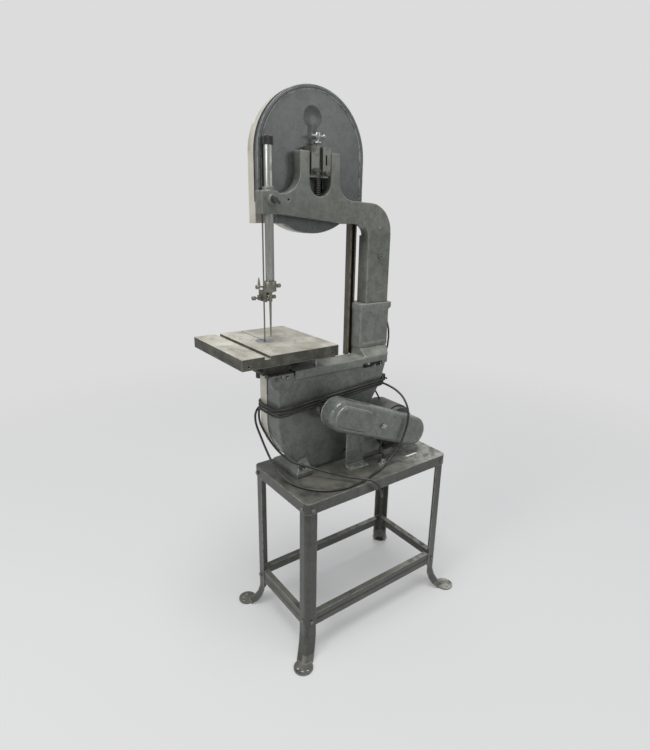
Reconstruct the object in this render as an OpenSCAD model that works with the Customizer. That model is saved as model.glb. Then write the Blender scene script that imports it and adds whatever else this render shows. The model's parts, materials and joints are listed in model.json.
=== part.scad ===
// A floor-standing wood and metal cutting band saw on a sheet-steel stand.
// Origin: centre of the four foot bolt holes, on the floor. +Z is up, -Y is the operator's side,
// +X is the blade side and -X is the column side. All sizes are in millimetres.

/* [Stand] */
// Length of the stand's top, along X
stand_l = 660; // [600:10:720]
// Depth of the stand's top, along Y
stand_d = 348; // [340:2:380]
// Height of the stand's top above the floor
stand_h = 612; // [600:1:620]
// Thickness of the stand's sheet steel
sheet_t = 3; // [2:0.5:4]
// Depth of the stand top's turned-down edge
flange_h = 40; // [30:1:50]
// Width of each leg's two sides
leg_w = 42; // [38:1:50]

/* [Wheels and blade] */
// Radius of both wheels over their tyres
wheel_r = 177.8; // [177:0.1:178.5]
// Width of the wheel rims
wheel_w = 25; // [24:1:26]
// Width of the blade, across its teeth
blade_w = 9.5; // [6:0.5:12]
// Radius of the pulley on the lower shaft
driven_r = 50; // [46:1:52]
// Radius of the motor pulley
motor_pulley_r = 30; // [26:1:34]

/* [Table] */
// Side of the square table
table_s = 355.6; // [350:0.1:360]
// Height of the table's top above the floor
table_h = 1090; // [1088:1:1092]
// Depth of the table's edge
table_t = 36; // [34:1:38]

/* [Guide post] */
// Radius of the guide post
post_r = 14; // [12:0.5:14]
// Running clearance of a shaft in its bore
run_gap = 0.05; // [0.02:0.01:0.09]

/* [Hidden] */
$fn = 48;
blade_x = 304;                      // cutting run of the blade
blade_y = -121;                     // plane of both wheels
wheel_x = blade_x - wheel_r - 0.2;  // both wheel axes
upper_z = 1650;                     // upper wheel axis
lower_z = 846;                      // lower wheel axis
rim_y0 = blade_y - wheel_w / 2;
tire_t = 3;
shaft_r = 12;                       // lower shaft
stub_r = 10;                        // upper wheel's stub shaft
back_y = -20;                       // back face of the lower frame
front_y = -98;                      // parting plane of the lower frame and its door
door_y = -144;                      // outer face of the lower door
drum_z = 808;                       // centre of the lower frame's round bottom
drum_x = 124;
drum_r = 188;
frame_top = 1000;
seat_z = 985;                       // lower part of the frame's top, below the table seat
arm_y0 = -100;
arm_y1 = -58;
arch_z = 1676;                      // centre of the upper guard's arch
arch_r = 203;
guard_bottom = 1470;
post_y = -80;
motor_x = -222;
motor_z = 705;
motor_r = 78;
belt_y0 = 40;                       // back plate of the belt guard
belt_y1 = 105;
belt_r = 57;
hole_x = -72;                       // cord hole in the stand's top
hole_y = 91;
hole_r = 16;
foot_r = 34;
foot_off = 34;                      // pad centre, outside the leg's corner
foot_hole_off = foot_off + 12;
foot_hole_r = 4.5;
bolt_r = 4;
bolt_hole_r = 4.5;
cord_r = 4;
leg_bolt_z = stand_h - 24;
rail_z0 = 114;
rail_z1 = 164;
rail_bolt_z = (rail_z0 + rail_z1) / 2;
leg_x = stand_l / 2 - sheet_t;      // outer faces of the legs
leg_y = stand_d / 2 - sheet_t;
rail_y = leg_y - sheet_t;           // outer face of the long rails
rail_x = leg_x - sheet_t;
bolt_in = 22;                       // bolt's distance from the leg's corner
frame_foot = [[-108, -126], [-108, -2], [229, -126], [229, -2]];
bracket_foot = [[4, 60], [50, 60]];
seat_bolts = [[284, 985], [304, 990], [324, 985]];
bar_bolts = [-125, -59];            // small bar on the frame's back
bar_z = frame_top - 29;
column_x0 = -196;
column_x1 = -59;
column_y0 = -131;
column_y1 = -54;
riser_z0 = 1027;
riser_z1 = 1192;
hinge_x = -88;
hinge_y = -124;
hinge_z = [1520, 1640];
screw_y = -76;                      // tension screw
stub_end = -84;                     // inner end of the upper wheel's shaft
tracking_x = wheel_x + 22;
tracking_z = 1630;
fork_w = 41;                        // half the gap between the arm's two horns
table_x0 = blade_x - table_s / 2;
table_y0 = blade_y - table_s / 2;
slot_x = blade_x + 91;
trunnion_r = 90;
front_seat = [-168, -152];          // trunnions, from one Y to the other
rear_seat = [-60, -44];
post_z0 = 1281;
post_z1 = 1694;
thrust_r = 12;
thrust_y = blade_y + blade_w / 2 + 0.3 + thrust_r;
upper_guide_z = 1242;
lower_guide_z = 1015;
belt_a = [wheel_x, lower_z];
belt_b = [motor_x, motor_z];
guard_mid = (belt_a + belt_b) / 2;
wind_x = -158;                      // cord's winding, at its column end
wind_z = 876;
wind_h = 36;
wind_tilt = 3.2;
leg_corner = 17;
guide_r = 20;                       // boss round the guide post
steel = "#9a9a92";
paint = "#6b716f";
cream = "#b5b0a0";
dark = "#2b2b2a";

// Free cord below the stand's top, over its back edge and up to the winding
LEAD_ROUTE = [[-72, 91, 600], [-72, 91, 578], [-68, 97, 556], [-54, 112, 540], [-32, 136, 532],
    [-8, 162, 534], [14, 186, 546], [32, 202, 566], [44, 209, 590], [54, 207, 612], [66, 194, 627],
    [84, 172, 631], [110, 142, 630], [140, 110, 634], [170, 78, 640], [200, 44, 648],
    [232, 14, 658], [262, -14, 668], [287, -46, 692], [304, -80, 722], [315, -112, 757],
    [321, -138, 792], [314, -156, 826], [296, -164, 856], [272, -165, 876]];
// Free cord from the winding, over the belt guard, round the stand's top and back to the winding
LOOP_ROUTE = [[-162, -39, 880], [-162, -20, 880], [-163, 10, 878], [-169, 40, 869], [-173, 70, 853],
    [-172, 96, 828], [-168, 112, 798], [-162, 117, 764], [-152, 117, 730], [-136, 117, 696],
    [-112, 116, 662], [-84, 115, 636], [-56, 118, 621], [-20, 130, 616.5], [30, 145, 616.5],
    [80, 158, 616.5], [130, 163, 616.5], [180, 158, 616.5], [226, 140, 616.5], [262, 106, 616.5],
    [286, 66, 616.5], [302, 24, 621], [314, -16, 638], [322, -54, 668], [326, -90, 706],
    [329, -124, 748], [331, -150, 786], [321, -167, 820], [293, -171, 843], [262, -165, 855]];
// Motor cable from the motor down to the gland in the stand's top
MOTOR_ROUTE = [[-150, -2, 668], [-134, 12, 666], [-110, 34, 656], [-84, 56, 650], [-64, 76, 650],
    [-62, 90, 656], [-68, 92, 650], [-72, 91, 634]];
// Switch cable round the column's outer side and down to the motor
SWITCH_ROUTE = [[-168, -145, 1134], [-192, -146, 1134], [-204, -134, 1132], [-208, -112, 1128],
    [-209, -90, 1122], [-209, -72, 1108], [-209, -62, 1080], [-208, -59, 1050], [-205, -59, 1018],
    [-196, -61, 982], [-186, -70, 954], [-179, -90, 930], [-180, -110, 900], [-190, -122, 862],
    [-204, -122, 822], [-214, -112, 796], [-217, -100, 780]];

// ---- helpers ----

// A box given by its two corners
module block(a, b) { translate(a) cube(b - a); }
// Cylinders along each axis, from one coordinate to the other
module cyl_x(r, x0, x1, y, z) { translate([x0, y, z]) rotate([0, 90, 0]) cylinder(r = r, h = x1 - x0); }
module cyl_y(r, y0, y1, x, z) { translate([x, y1, z]) rotate([90, 0, 0]) cylinder(r = r, h = y1 - y0); }
module cyl_z(r, z0, z1, x, y) { translate([x, y, z0]) cylinder(r = r, h = z1 - z0); }
// A flat outline in X and Z, given its depth along Y
module slab(y0, y1) { translate([0, y1, 0]) rotate([90, 0, 0]) linear_extrude(y1 - y0) children(); }
// A profile of radius and distance along +Y, turned about an axis along Y
module turned_y(x, y, z) { translate([x, y, z]) rotate([-90, 0, 0]) rotate_extrude($fn = 96) children(); }
// A hexagonal head or nut along Z
module hex(af, h) { cylinder(r = af / sqrt(3), h = h, $fn = 6); }
// A rectangle with round corners, centred
module round_rect(l, d, r) {
    square([l - 2 * r, d], center = true);
    square([l, d - 2 * r], center = true);
    for (sx = [-1, 1], sy = [-1, 1]) translate([sx * (l / 2 - r), sy * (d / 2 - r)]) circle(r = r);
}
// A rectangle with semicircular ends between two points
module capsule(a, b, r) {
    translate(a) circle(r = r);
    translate(b) circle(r = r);
    translate(a) rotate(atan2(b[1] - a[1], b[0] - a[0]))
        translate([0, -r]) square([norm(b - a), 2 * r]);
}
// Points of an arc in a plane
function arc(c, r, a0, a1, n = 12) = [for (i = [0:n]) let (a = a0 + (a1 - a0) * i / n)
    c + r * [cos(a), sin(a)]];

function unit(v) = v / norm(v);
// Catmull-Rom curve through a route's points
function span(a, b, c, d, t) = 0.5 * (2 * b + (c - a) * t + (2 * a - 5 * b + 4 * c - d) * t * t
    + (3 * b - a - 3 * c + d) * t * t * t);
function smooth(p, n) = [for (i = [0:len(p) - 2], k = [0:n - 1])
    span(p[max(i - 1, 0)], p[i], p[i + 1], p[min(i + 2, len(p) - 1)], k / n), p[len(p) - 1]];
function heading(p, i) = unit(p[min(i + 1, len(p) - 1)] - p[max(i - 1, 0)]);
// Normals carried along a route without twist
function normals(p, i = 0, last = [0, 0, 0]) = i == len(p) ? [] :
    let (t = heading(p, i),
         raw = i == 0 ? cross(t, abs(t[2]) < 0.9 ? [0, 0, 1] : [1, 0, 0]) : last - (last * t) * t,
         n = unit(raw))
    concat([n], normals(p, i + 1, n));
// A round tube swept along a route
module tube(p, r, sides = 8) {
    n = normals(p);
    rings = len(p);
    points = [for (i = [0:rings - 1], k = [0:sides - 1])
        let (t = heading(p, i), b = cross(t, n[i]), a = 360 * k / sides)
        p[i] + r * (cos(a) * n[i] + sin(a) * b)];
    sides_faces = [for (i = [0:rings - 2], k = [0:sides - 1]) let (j = (k + 1) % sides)
        [i * sides + k, (i + 1) * sides + k, (i + 1) * sides + j, i * sides + j]];
    first = [for (k = [0:sides - 1]) k];
    last = [for (k = [sides - 1:-1:0]) (rings - 1) * sides + k];
    polyhedron(points, concat(sides_faces, [first, last]), convexity = 6);
}

// ---- stand ----

module stand_top() {
    color(paint) difference() {
        translate([0, 0, stand_h - flange_h]) linear_extrude(flange_h) round_rect(stand_l, stand_d, 20);
        translate([0, 0, stand_h - flange_h - 1]) linear_extrude(flange_h + 1 - sheet_t)
            round_rect(stand_l - 2 * sheet_t, stand_d - 2 * sheet_t, 20 - sheet_t);
        cyl_z(hole_r, stand_h - 10, stand_h + 1, hole_x, hole_y);
        for (y = [-110, 98]) translate([0, 0, stand_h - 10]) linear_extrude(20)
            capsule([-240, y], [-190, y], 6);
        for (p = frame_foot) cyl_z(bolt_hole_r, stand_h - 10, stand_h + 1, p[0], p[1]);
        for (p = bracket_foot) cyl_z(bolt_hole_r, stand_h - 10, stand_h + 1, p[0], p[1]);
        for (s = [-1, 1], t = [-1, 1]) {
            cyl_y(bolt_hole_r, t > 0 ? leg_y - 1 : -leg_y - 5, t > 0 ? leg_y + 5 : -leg_y + 1,
                s * (leg_x - bolt_in), leg_bolt_z);
            cyl_x(bolt_hole_r, s > 0 ? leg_x - 1 : -leg_x - 5, s > 0 ? leg_x + 5 : -leg_x + 1,
                t * (leg_y - bolt_in), leg_bolt_z);
        }
    }
}

// One thin level slice of a leg, its outer corner moved out by off
module leg_slice(z, off, inset, size) {
    translate([off - inset, off - inset, z]) {
        translate([-size, -size, 0]) cube([size - leg_corner, size, 0.5]);
        translate([-size, -size, 0]) cube([size, size - leg_corner, 0.5]);
        translate([-leg_corner, -leg_corner, 0]) cylinder(r = leg_corner, h = 0.5, $fn = 32);
    }
}
module leg_flare(inset, size) {
    hull() { leg_slice(78, 0, inset, size); leg_slice(46, 7, inset, size); }
    hull() { leg_slice(46, 7, inset, size); leg_slice(20, 19, inset, size); }
    hull() { leg_slice(20, 19, inset, size); leg_slice(0, 36, inset, size); }
}
// A leg in the corner of +X and +Y
module leg() {
    r = leg_corner;
    color(paint) difference() {
        union() {
            translate([0, 0, 78]) linear_extrude(stand_h - sheet_t - 78) difference() {
                union() {
                    translate([-leg_w, -leg_w]) square([leg_w - r, leg_w]);
                    translate([-leg_w, -leg_w]) square([leg_w, leg_w - r]);
                    translate([-r, -r]) circle(r = r);
                }
                translate([-leg_w - 1, -leg_w - 1]) square([leg_w + 1 - r, leg_w + 1 - sheet_t]);
                translate([-leg_w - 1, -leg_w - 1]) square([leg_w + 1 - sheet_t, leg_w + 1 - r]);
                translate([-r, -r]) circle(r = r - sheet_t);
            }
            difference() {
                leg_flare(0, leg_w);
                leg_flare(4, leg_w + 20);
            }
            cyl_z(foot_r, 0, 5, foot_off, foot_off);
        }
        cyl_z(foot_hole_r, -1, 10, foot_hole_off, foot_hole_off);
        for (a = [-15, 105]) cyl_z(foot_hole_r, -1, 10, foot_off + 20 * cos(a), foot_off + 20 * sin(a));
        for (z = [leg_bolt_z, rail_bolt_z]) {
            cyl_y(bolt_hole_r, -sheet_t - 1, 1, -bolt_in, z);
            cyl_x(bolt_hole_r, -sheet_t - 1, 1, -bolt_in, z);
        }
    }
}
module leg_back_right() { translate([leg_x, leg_y, 0]) leg(); }
module leg_back_left() { mirror([1, 0, 0]) leg_back_right(); }
module leg_front_right() { mirror([0, 1, 0]) leg_back_right(); }
module leg_front_left() { mirror([1, 0, 0]) leg_front_right(); }

// A rail's angle along X, its web on the +Y side
module rail_profile(length, lip, hole_gap) {
    difference() {
        union() {
            block([-length / 2, -sheet_t, rail_z0], [length / 2, 0, rail_z1]);
            block([-lip / 2, -22, rail_z1 - sheet_t], [lip / 2, 0, rail_z1]);
        }
        for (s = [-1, 1]) cyl_y(bolt_hole_r, -sheet_t - 1, 1, s * hole_gap / 2, rail_bolt_z);
    }
}
module stand_rails() {
    corner = 17;                    // clear of the legs' round inner corner
    color(paint) {
        for (a = [0, 180]) rotate(a) translate([0, rail_y, 0])
            rail_profile(2 * (leg_x - corner), 2 * (leg_x - leg_w - 4), 2 * (leg_x - bolt_in));
        for (a = [90, 270]) rotate(a) translate([0, rail_x, 0])
            rail_profile(2 * (leg_y - corner), 2 * (rail_y - 24), 2 * (leg_y - bolt_in));
    }
}

// A bolt along +Z with its head's underside at 0 and its nut below at -grip
module bolt(grip, head = 13) {
    hex(head, 5);
    translate([0, 0, -grip - 8]) cylinder(r = bolt_r, h = grip + 9);
    translate([0, 0, -grip - 6]) hex(head, 6);
}
module stand_bolts() {
    color(steel) for (s = [-1, 1], t = [-1, 1]) {
        bx = s * (leg_x - bolt_in);
        by = t * (leg_y - bolt_in);
        translate([bx, t * stand_d / 2, leg_bolt_z]) rotate([-90 * t, 0, 0]) bolt(2 * sheet_t);
        translate([s * stand_l / 2, by, leg_bolt_z]) rotate([0, 90 * s, 0]) bolt(2 * sheet_t);
        translate([bx, t * leg_y, rail_bolt_z]) rotate([-90 * t, 0, 0]) bolt(2 * sheet_t);
        translate([s * leg_x, by, rail_bolt_z]) rotate([0, 90 * s, 0]) bolt(2 * sheet_t);
    }
}

// ---- castings ----

module drum_outline(grow = 0) {
    translate([drum_x, drum_z]) circle(r = drum_r + grow, $fn = 96);
    translate([drum_x - drum_r - grow, drum_z]) square([2 * (drum_r + grow), seat_z - drum_z + grow]);
}
module column_foot_outline() {
    polygon([[-60, 770], [-100, 826], [-134, 880], [-148, 915], [-160, 955],
        [-170, frame_top], [-60, frame_top]]);
}
module seat_outline() {
    intersection() {
        translate([blade_x, seat_z]) circle(r = 46, $fn = 96);
        translate([blade_x - 50, seat_z - 50]) square([100, 51]);
    }
    translate([blade_x - 46, seat_z]) square([92, 12]);
}
module lower_frame() {
    wall = 10;
    color(paint) difference() {
        union() {
            slab(front_y, back_y) drum_outline();
            slab(-128, back_y) column_foot_outline();
            // top band, with its lower part under the table seat
            block([-166, front_y, frame_top - 32], [250, back_y + 6, frame_top]);
            block([249, front_y, frame_top - 32], [318, back_y, seat_z]);
            hull() {
                block([column_x0 + 2, column_y0 + 1, riser_z0 - 1], [column_x1 - 2, column_y1 - 1, riser_z0]);
                block([-170, -128, frame_top - 1], [-58, back_y + 6, frame_top]);
            }
            // feet on the stand
            hull() {
                block([192, -150, stand_h], [262, 14, stand_h + 18]);
                block([200, front_y + 10, stand_h + 20], [226, back_y - 4, stand_h + 56]);
            }
            hull() {
                block([-132, -150, stand_h], [-40, 22, stand_h + 20]);
                block([-70, front_y + 10, stand_h + 20], [-20, back_y - 2, stand_h + 130]);
            }
            block([-20, front_y + 2, stand_h], [196, back_y - 2, stand_h + 30]);
            cyl_y(30, front_y + 6, back_y + 8, wheel_x, lower_z);
            // seat below the table's bracket
            slab(back_y - 1, -10) seat_outline();
        }
        // hollow behind the lower wheel, open to the front
        slab(front_y - 1, back_y - 12) difference() {
            drum_outline(-wall);
            translate([wheel_x, lower_z]) circle(r = 31);
        }
        cyl_y(31.5, front_y - 1, front_y + 20, wheel_x, lower_z);
        cyl_y(26, front_y + 19, back_y + 9, wheel_x, lower_z);
        // room for the closed door and the foot of the return guard
        slab(door_y - 1, front_y) lower_door_outline(-0.5);
        block([-71, -140, 988], [-33, -103, 1030]);
        for (p = frame_foot) cyl_z(bolt_hole_r, stand_h - 1, stand_h + 22, p[0], p[1]);
        for (p = frame_foot) cyl_z(11, stand_h + 20, stand_h + 46, p[0], p[1]);
        for (p = seat_bolts) cyl_y(3.1, back_y - 18, -9, p[0], p[1]);
        cyl_z(4.1, frame_top - 20, frame_top + 1, 150, -42);
        for (x = bar_bolts) cyl_y(3.1, back_y - 10, back_y + 7, x, bar_z);
    }
}

// Bolts of the frame's feet, the riser's bolt, the seat's screws and the small bar on the back
module frame_bolts() {
    color(steel) {
        for (p = frame_foot) translate([p[0], p[1], stand_h + 20]) bolt(20 + sheet_t, 15);
        translate([-143, arm_y1, 1360]) rotate([-90, 0, 0]) { hex(16, 8); cylinder(r = 5, h = 12); }
        cyl_x(4, -199, -190, -78, 1325);
        for (p = seat_bolts) translate([p[0], -10, p[1]]) rotate([-90, 0, 0]) {
            cylinder(r = 5, h = 5);
            translate([0, 0, -26]) cylinder(r = 3, h = 27);
        }
        for (x = bar_bolts) translate([x, back_y + 10, bar_z]) rotate([-90, 0, 0]) {
            cylinder(r = 6, h = 4);
            translate([0, 0, -18]) cylinder(r = 3, h = 19);
        }
        difference() {
            block([-137, back_y + 6, bar_z - 7], [-47, back_y + 10, bar_z + 7]);
            for (x = bar_bolts) cyl_y(3.1, back_y, back_y + 12, x, bar_z);
        }
    }
}

module riser_block() {
    color(paint) difference() {
        union() {
            block([column_x0, column_y0, riser_z0], [column_x1, column_y1, riser_z1 - 20]);
            hull() {
                block([column_x0, column_y0, riser_z1 - 30], [column_x1, column_y1, riser_z1 - 20]);
                block([column_x0 - 6, column_y0 - 6, riser_z1 - 20],
                    [column_x1 + 3, column_y1 + 6, riser_z1]);
            }
        }
        // room for the blade's return guard
        block([-72, -140, riser_z0 - 1], [column_x1 + 10, -106, riser_z1 + 1]);
        // sunk panels on the back and the front
        block([column_x0 + 12, column_y1 - 3, riser_z0 + 14], [column_x1 - 12, column_y1 + 1, riser_z1 - 42]);
        block([column_x0 + 12, column_y0 - 1, riser_z0 + 14], [column_x1 - 24, column_y0 + 3, riser_z1 - 42]);
    }
}

module arm_outline() {
    polygon(concat(
        [[340, 1499], [340, 1566], [284, 1566], [280, 1560]],
        arc([267, 1625], 65, 270, 180), [[202, 1688], [50, 1688]],
        arc([-16, 1611], 66, 0, -90), [[-88, 1542]],
        arc([-88, 1440], 102, 90, 180, 16), [[-190, riser_z1], [-85, riser_z1]],
        arc([-41, 1426], 44, 180, 96), [[22, 1472], [280, 1499]]));
}
module upper_arm() {
    color(paint) difference() {
        union() {
            slab(arm_y0, arm_y1) arm_outline();
            // thicker foot of the column
            slab(arm_y0 - 12, arm_y0 + 1) intersection() {
                arm_outline();
                translate([-190, riser_z1]) square([105, 240]);
            }
            for (p = [[-139, 1455], [-145, 1228]]) cyl_y(5, arm_y1 - 1, arm_y1 + 1.5, p[0], p[1]);
            cyl_z(guide_r, 1560, 1578, blade_x, post_y);
            cyl_y(15, arm_y1 - 2, arm_y1 + 8, blade_x, 1540);
        }
        // opening between the two horns
        slab(arm_y0 - 1, arm_y1 + 1) {
            translate([wheel_x, 1596]) circle(r = fork_w);
            translate([wheel_x - fork_w, 1596]) square([2 * fork_w, 100]);
        }
        cyl_z(post_r + run_gap, 1490, 1580, blade_x, post_y);
        cyl_y(4.05, post_y, arm_y1 + 9, blade_x, 1540);
        cyl_y(4, arm_y1 - 12, arm_y1 + 1, 246, 1542);
    }
}

// ---- covers ----

module lower_door_outline(inset = 0) {
    translate([drum_x, drum_z]) circle(r = drum_r + 2 - inset, $fn = 96);
    translate([wheel_x, lower_z]) circle(r = drum_r - inset, $fn = 96);
    translate([drum_x - drum_r - 2 + inset, drum_z])
        square([2 * (drum_r + 2 - inset), seat_z - drum_z - inset]);
}
module lower_door() {
    color(cream) difference() {
        slab(door_y, front_y) lower_door_outline();
        slab(door_y + 3, front_y + 1) lower_door_outline(3);
        // the blade's two ways in
        block([290, -136, seat_z - 30], [309, -106, seat_z + 20]);
        block([-61, -136, seat_z - 30], [-34, -106, seat_z + 20]);
        cyl_y(4.1, door_y - 1, door_y + 4, 284, 790);
    }
}
module knurled_knob(r, h) {
    cylinder(r = r, h = h * 0.75);
    translate([0, 0, h * 0.75]) cylinder(r = r * 0.7, h = h * 0.25);
}
module lower_door_knob() {
    color(dark) translate([284, door_y - 0.3, 790]) rotate([90, 0, 0]) {
        knurled_knob(14, 18);
        translate([0, 0, -6]) cylinder(r = 4, h = 7);
    }
}

module arch_outline(inset = 0) {
    translate([126, arch_z]) circle(r = arch_r - inset, $fn = 96);
    translate([126 - arch_r + inset, guard_bottom]) square([2 * (arch_r - inset), arch_z - guard_bottom]);
    intersection() {
        translate([126, 1660]) circle(r = 221 - inset, $fn = 96);
        translate([0, 1400]) square([252, 200]);
    }
}
// The pressed hollow that clears the tension handle, grown by wall
module spoon(wall) {
    intersection() {
        union() {
            translate([130, -1, 1789]) sphere(r = 105 + wall, $fn = 96);
            translate([130, -70, 1725]) cylinder(r = 36 + wall, h = 64, $fn = 96);
        }
        block([80, -125, 1725], [180, -100, 1835]);
    }
}
module upper_guard() {
    color(paint) difference() {
        union() {
            slab(-103, -100) arch_outline();
            // rim, with its rolled bead
            difference() {
                slab(-120, -101) arch_outline();
                slab(-121, -103) arch_outline(3);
                block([-90, -121, 1430], [0, -103, guard_bottom + 2]);
                block([252, -121, 1430], [340, -103, guard_bottom + 2]);
            }
            difference() {
                slab(-106, -96.5) union() {
                    translate([126, arch_z]) circle(r = arch_r + 2.5, $fn = 96);
                    translate([126 - arch_r - 2.5, guard_bottom])
                        square([2 * arch_r + 5, arch_z - guard_bottom]);
                }
                slab(-110, -90) union() {
                    translate([126, arch_z]) circle(r = arch_r - 12, $fn = 96);
                    translate([126 - arch_r + 12, 1400]) square([2 * arch_r - 24, arch_z - 1400]);
                }
            }
            spoon(1.5);
        }
        spoon(0);
        block([88, -110, 1548], [164, -95, 1704]);
        // the arm passes below the bead, and the blade side's lower corner is open
        slab(-100, -90) arm_outline();
        block([268, -121, 1460], [340, -95, 1556]);
    }
}
module upper_door() {
    color(cream) difference() {
        union() {
            slab(-150, -120.3) arch_outline();
            intersection() {
                slab(-161, -149) arch_outline();
                block([-90, -162, 1400], [340, -140, 1760]);
            }
        }
        slab(-147.5, -119) arch_outline(2.5);
        intersection() {
            slab(-158.5, -140) arch_outline(2.5);
            block([-90, -160, 1400], [340, -140, 1757]);
        }
        // open below, where the blade passes
        block([-74, -148, 1430], [0, -119, guard_bottom + 3]);
        block([252, -148, 1430], [326, -119, guard_bottom + 3]);
    }
}

module hinge_pins() {
    color(steel) for (z = hinge_z) {
        cyl_z(2.5, z, z + 40, hinge_x, hinge_y);
        cyl_z(5, z, z + 19.7, hinge_x, hinge_y);
        block([hinge_x, hinge_y + 2, z], [126 - arch_r, hinge_y + 5, z + 19.7]);
        block([126 - arch_r - 3, hinge_y + 2, z], [126 - arch_r, -107, z + 19.7]);
    }
}
module hinge_leaves() {
    color(steel) for (z = hinge_z) difference() {
        union() {
            cyl_z(5, z + 20, z + 40, hinge_x, hinge_y);
            block([hinge_x, hinge_y - 5, z + 20], [126 - arch_r, hinge_y - 2, z + 40]);
            block([126 - arch_r - 3, -147, z + 20], [126 - arch_r, hinge_y - 2, z + 40]);
        }
        cyl_z(2.5 + run_gap, z + 19, z + 41, hinge_x, hinge_y);
    }
}

module column_blade_guard() {
    color("#5d5245") difference() {
        block([-70, -135, 991], [-44, -107, 1500]);
        block([-68, -133, 990], [-46, -109, 1501]);
        block([-64, -110, 990], [-50, -100, 1501]);
    }
}

// ---- wheels and blade ----

module wheel(z, hub_r, bore, hub_front) {
    color(paint) difference() {
        union() {
            turned_y(wheel_x, rim_y0, z) difference() {
                translate([154, 0]) square([wheel_r - tire_t - 154, wheel_w]);
                translate([153, -1]) square([10, 9]);
                translate([153, wheel_w - 8]) square([10, 9]);
            }
            cyl_y(156, blade_y - 4, blade_y + 4, wheel_x, z);
            cyl_y(hub_r, blade_y - hub_front, blade_y + 14, wheel_x, z);
        }
        cyl_y(bore, blade_y - 30, blade_y + 30, wheel_x, z);
        for (a = [0:60:300]) cyl_y(34, blade_y - 10, blade_y + 10, wheel_x + 102 * cos(a), z + 102 * sin(a));
    }
}
module tire(z) {
    color("#3a2f28") turned_y(wheel_x, rim_y0 + 1, z)
        translate([wheel_r - tire_t, 0]) square([tire_t - 0.3, wheel_w - 2]);
}
module bearing(y0, y1, z, r_out, r_in) {
    color(steel) turned_y(wheel_x, y0, z) translate([r_in, 0]) square([r_out - r_in, y1 - y0]);
}
module upper_wheel() { wheel(upper_z, 28, 17.5, 18); }
module upper_tire() { tire(upper_z); }
module upper_bearings() {
    bearing(blade_y - 18, blade_y - 6, upper_z, 17.5, stub_r);
    bearing(blade_y + 2, blade_y + 14, upper_z, 17.5, stub_r);
}
module upper_shaft() {
    color(steel) {
        cyl_y(stub_r - run_gap, blade_y - 22, stub_end, wheel_x, upper_z);
        cyl_y(14, blade_y + 14.3, -98.3, wheel_x, upper_z);
        cyl_y(14, blade_y - 24, blade_y - 18.3, wheel_x, upper_z);
    }
}
module lower_wheel() { wheel(lower_z, 26, shaft_r, 14); }
module lower_tire() { tire(lower_z); }
module lower_shaft() {
    color(steel) {
        cyl_y(shaft_r, blade_y - 15, 78, wheel_x, lower_z);
        cyl_y(18, blade_y - 18, blade_y - 14, wheel_x, lower_z);
    }
}
module lower_bearings() {
    bearing(-78.5, -63.5, lower_z, 26, shaft_r + run_gap);
    bearing(back_y - 7, back_y + 8, lower_z, 26, shaft_r + run_gap);
}
module blade() {
    t = 0.7;
    color("#8d8b86") slab(blade_y - blade_w / 2, blade_y + blade_w / 2) difference() {
        union() {
            for (z = [upper_z, lower_z]) translate([wheel_x, z]) circle(r = wheel_r + t, $fn = 120);
            translate([wheel_x - wheel_r - t, lower_z]) square([2 * (wheel_r + t), upper_z - lower_z]);
        }
        for (z = [upper_z, lower_z]) translate([wheel_x, z]) circle(r = wheel_r, $fn = 120);
        translate([wheel_x - wheel_r, lower_z]) square([2 * wheel_r, upper_z - lower_z]);
    }
}

// ---- upper wheel slide ----

module slide_bracket() {
    w = fork_w - 0.4;
    color("#77786f") difference() {
        union() {
            block([wheel_x - w, -95.5, 1612], [wheel_x + w, -68, 1702]);
            for (x = [wheel_x - 22, wheel_x + 22]) block([x - 15, -69, 1620], [x + 15, arm_y1 + 2, 1702]);
        }
        cyl_z(4.5 + run_gap, 1600, 1710, wheel_x, screw_y);
        cyl_y(stub_r, -99, stub_end, wheel_x, upper_z);
        cyl_y(4.1, -90, -55, tracking_x, tracking_z);
        slab(-66, arm_y1 + 3) capsule([wheel_x - 20, 1650], [wheel_x - 20, 1676], 3);
    }
}
// A rod along +Z with a ball on its end, turned in one piece
module ball_rod(r, length, ball_r) {
    rotate_extrude() difference() {
        union() {
            square([r, length]);
            translate([0, length]) circle(r = ball_r, $fn = 32);
        }
        translate([-2 * ball_r, -ball_r]) square([2 * ball_r, length + 3 * ball_r]);
    }
}
module tension_screw() {
    color("#b9bab6") translate([wheel_x, screw_y, 0]) {
        cyl_z(4.5, 1556, 1726, 0, 0);
        cyl_z(9, 1726, 1744, 0, 0);
        cyl_z(13, 1712, 1716, 0, 0);
        translate([26, 0, 1735]) rotate([0, -90, 0]) ball_rod(4.2, 50, 6.5);
    }
}
module tension_spring() {
    coils = 8;
    pitch = 7;
    color(dark) translate([wheel_x, screw_y, 1556.8]) rotate_extrude()
        difference() {
            union() {
                for (i = [0:coils - 1]) translate([8, 3 + i * pitch]) circle(r = 2.6, $fn = 24);
                translate([6.2, 3]) square([2, pitch * (coils - 1)]);
            }
            translate([-20, -10]) square([20, 200]);
        }
}
module wing(r) {
    for (s = [-1, 1]) translate([s * r, 0, 6]) rotate([90, 0, 0]) cylinder(r = 6, h = 4, center = true);
}
module tracking_screw() {
    color(steel) translate([tracking_x, arm_y1 + 6, tracking_z]) rotate([-90, 0, 0]) {
        translate([0, 0, -35]) cylinder(r = 4, h = 36);
        cylinder(r = 9, h = 9);
        wing(9);
    }
}

// ---- table ----

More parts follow.
